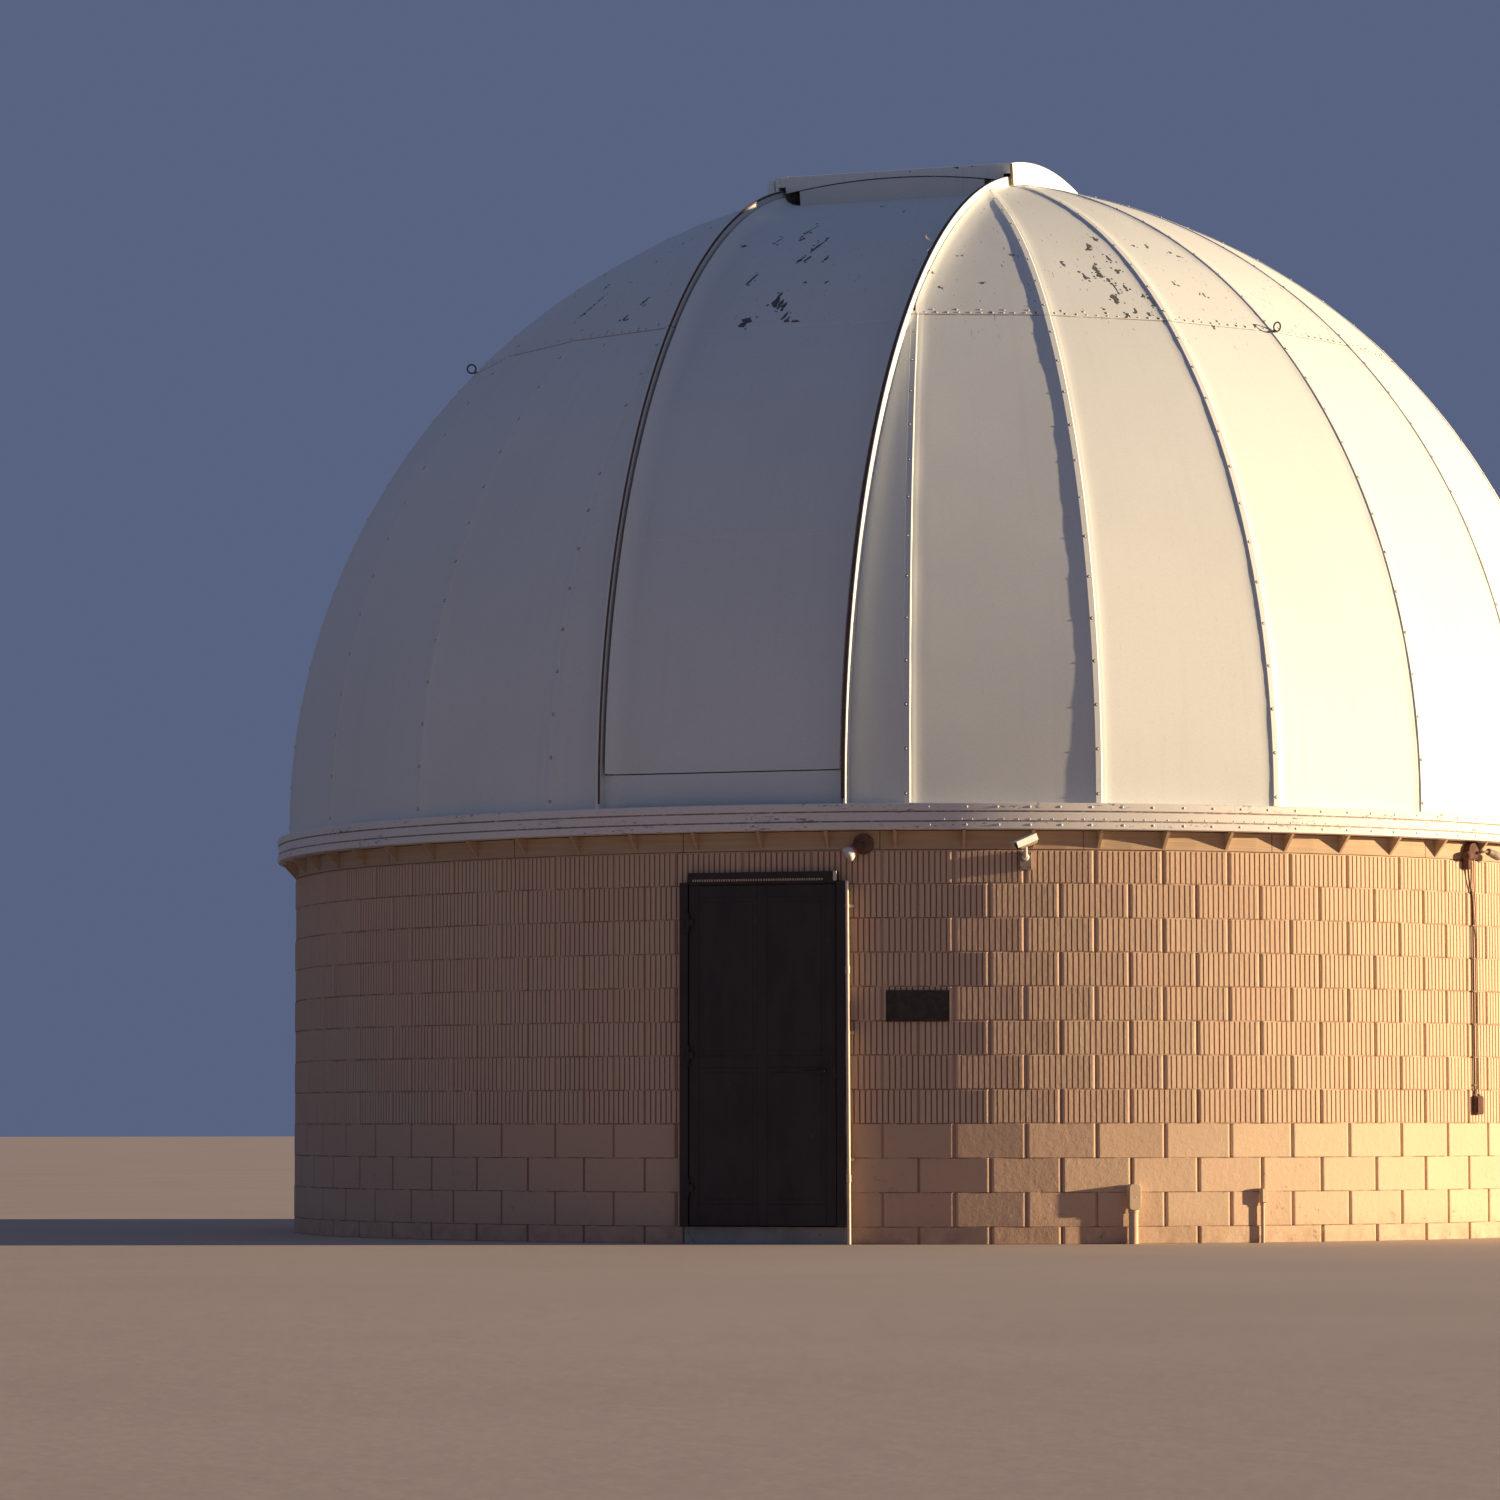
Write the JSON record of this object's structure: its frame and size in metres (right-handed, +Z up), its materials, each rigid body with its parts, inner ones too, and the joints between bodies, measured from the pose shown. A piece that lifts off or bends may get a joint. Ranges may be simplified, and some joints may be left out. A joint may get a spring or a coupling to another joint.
{
  "type": "observatory dome",
  "caption": "Round concrete-block building with a white rotating ribbed dome, a shuttered slit and a dark steel door.",
  "frame": {"origin": "on the dome's axis, at the foot of the wall", "axes": "+Z up; -Y towards the viewer of the picture, +X to the viewer's right"},
  "size_m": [8.9, 8.9748, 7.133],
  "materials": {
    "block": "painted concrete block, matt",
    "concrete": "bare floated concrete",
    "plywood": "painted plywood, matt",
    "dark_steel": "dark brown paint, satin",
    "galvanised": "weathered zinc",
    "tan_paint": "tan paint over steel, matt",
    "plaque": "darkened bare bronze plate",
    "housing": "off-white plastic",
    "dome_skin": "white paint, chalky, peeling in patches",
    "ring": "white paint, chipped",
    "shutter": "white paint, peeling in patches"
  },
  "bodies": {
    "building": {"door_conduit": "galvanised", "door_frame": "dark_steel", "eave_band_front": "plywood", "eave_band_left": "plywood", "eave_band_rear": "plywood", "eave_band_right": "plywood", "floor_slab": "concrete", "lamp_left": "galvanised", "lamp_pair": "galvanised", "outlet_cable": "galvanised", "outlet_post_oval": "tan_paint", "outlet_post_square": "tan_paint", "wall_camera": "housing", "wall_front_left": "block", "wall_front_right": "block", "wall_left": "block", "wall_over_door": "block", "wall_plaque": "plaque", "wall_rear_left": "block", "wall_rear_right": "block", "wall_right": "block"},
    "dome": {"base_ring_front_left": "ring", "base_ring_front_right": "ring", "base_ring_rear_left": "ring", "base_ring_rear_right": "ring", "dome_skin_left_front": "dome_skin", "dome_skin_left_middle_front": "dome_skin", "dome_skin_left_middle_rear": "dome_skin", "dome_skin_left_rear": "dome_skin", "dome_skin_left_side_front": "dome_skin", "dome_skin_left_side_rear": "dome_skin", "dome_skin_right_front": "dome_skin", "dome_skin_right_middle_front": "dome_skin", "dome_skin_right_middle_rear": "dome_skin", "dome_skin_right_rear": "dome_skin", "dome_skin_right_side_front": "dome_skin", "dome_skin_right_side_rear": "dome_skin", "rear_channel": "dome_skin", "slit_curb_left": "shutter", "slit_curb_right": "shutter", "slit_sill": "shutter"},
    "upper_shutter": {"upper_shutter": "shutter"},
    "lower_shutter": {"lower_shutter": "shutter"},
    "door": {"door_leaf": "dark_steel", "door_handle": "dark_steel"}
  },
  "joints": [
    {"name": "dome_turn", "type": "hinge", "parent": "building", "child": "dome", "pos_m": [0, 0, 2.67], "axis": [0, 0, 1], "continuous": true},
    {"name": "upper_shutter_slide", "type": "hinge", "parent": "dome", "child": "upper_shutter", "pos_m": [0, 0, 2.67], "axis": [-0.954, 0.2997, 0], "range_deg": [0, 60]},
    {"name": "lower_shutter_slide", "type": "hinge", "parent": "dome", "child": "lower_shutter", "pos_m": [0, 0, 2.67], "axis": [-0.954, 0.2997, 0], "range_deg": [0, 95]},
    {"name": "door_swing", "type": "hinge", "parent": "building", "child": "door", "pos_m": [-1.50208, -4.13339, 1.12], "axis": [0, 0, -1], "range_deg": [0, 100]}
  ]
}
